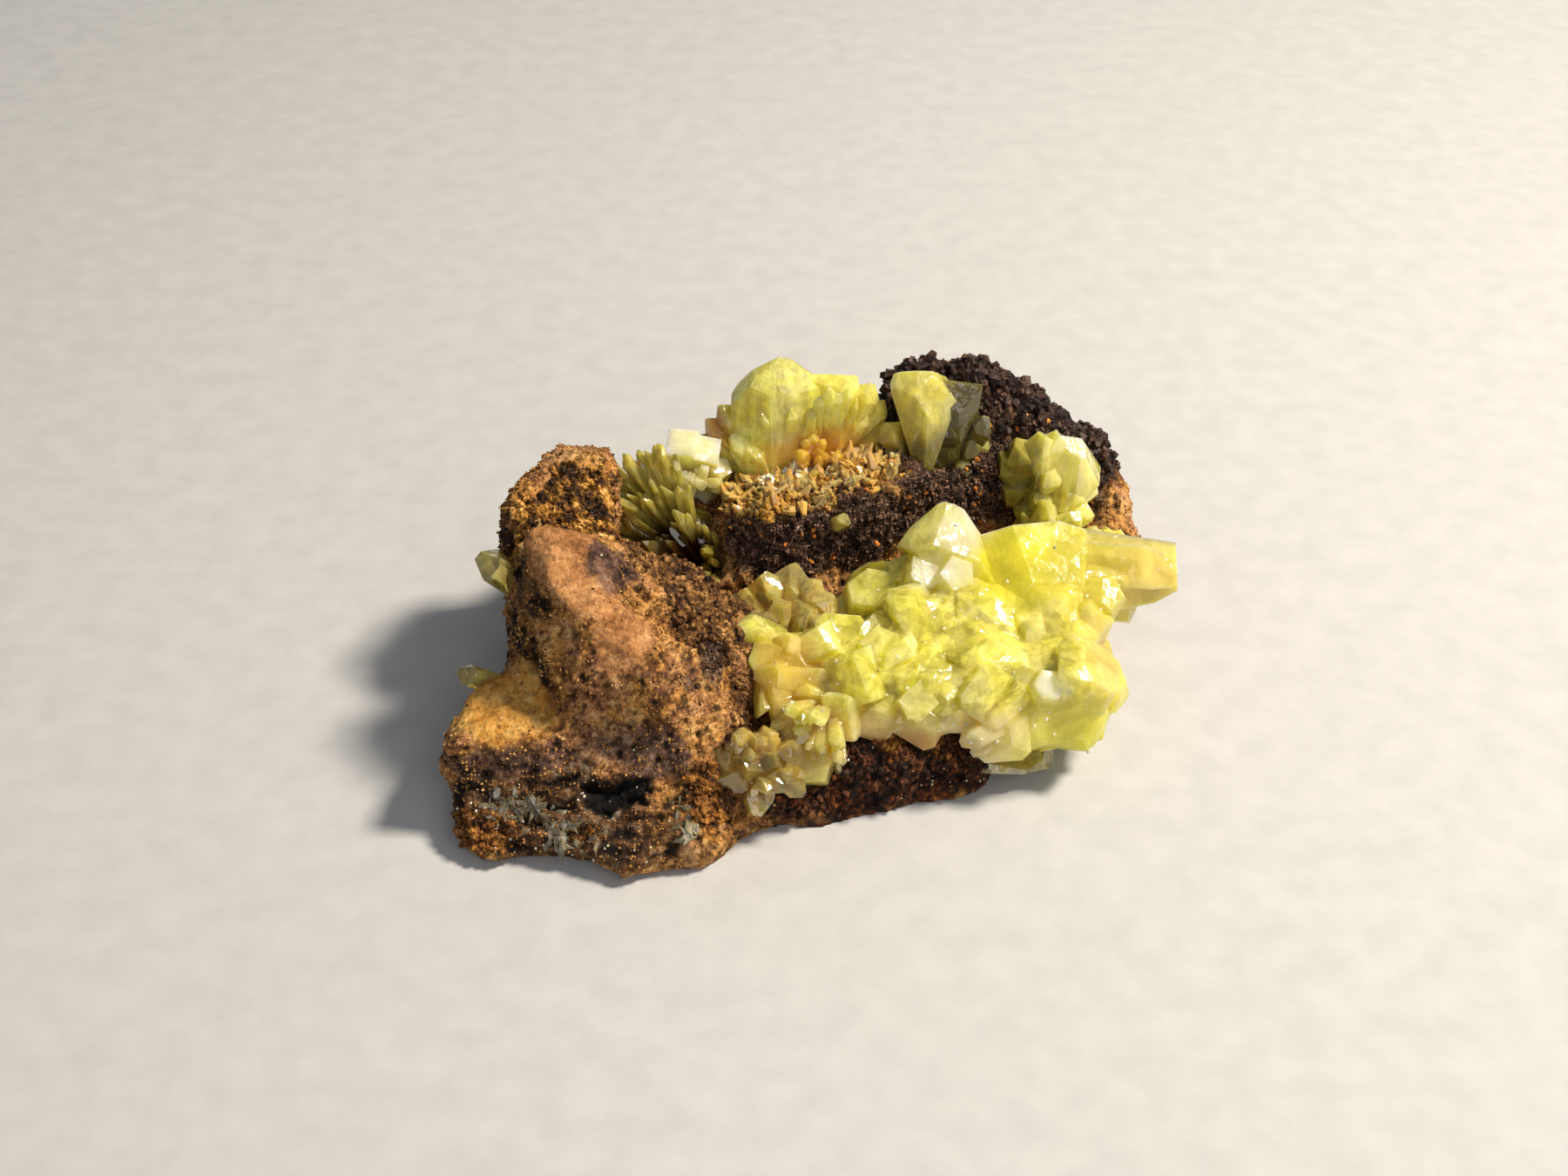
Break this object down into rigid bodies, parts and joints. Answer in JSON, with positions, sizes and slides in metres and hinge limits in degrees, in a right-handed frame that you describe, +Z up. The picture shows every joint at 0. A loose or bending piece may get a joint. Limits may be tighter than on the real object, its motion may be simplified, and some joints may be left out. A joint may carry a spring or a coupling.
{
  "type": "adamite crystal specimen",
  "caption": "Mineral specimen: a bank and fans of yellow-green adamite crystals on a lump of rusty brown limonite matrix that rests on a flat base.",
  "frame": {"origin": "centre of the footprint, on the surface the stone lies on", "axes": "+X towards the right-hand end with the honey crystal prong, -Y towards the front with the big crystal bank, +Z up"},
  "size_m": [0.0496, 0.0376, 0.0207],
  "materials": {
    "rusty_limonite": "dull earthy to velvety, rust brown to purple black",
    "cloudy_lime_adamite": "vitreous, cloudy lime yellow, glows through",
    "clear_lime_adamite": "vitreous, clear lemon yellow",
    "olive_adamite": "vitreous, clear smoky olive",
    "pale_adamite": "vitreous, nearly colourless"
  },
  "bodies": {
    "root": {"limonite_matrix": "rusty_limonite", "adamite_front_bank": "cloudy_lime_adamite", "adamite_bank_edge_group": "olive_adamite", "adamite_low_corner_group": "olive_adamite", "adamite_back_fan": "clear_lime_adamite", "adamite_peak_group": "clear_lime_adamite", "adamite_rim_group": "clear_lime_adamite", "adamite_foot_group": "clear_lime_adamite", "adamite_left_spray": "olive_adamite", "adamite_pale_blocks": "pale_adamite", "adamite_ridge_crystal": "pale_adamite", "adamite_edge_crystal": "pale_adamite", "adamite_ledge_crystal": "pale_adamite", "adamite_under_blade": "pale_adamite"}
  },
  "joints": []
}
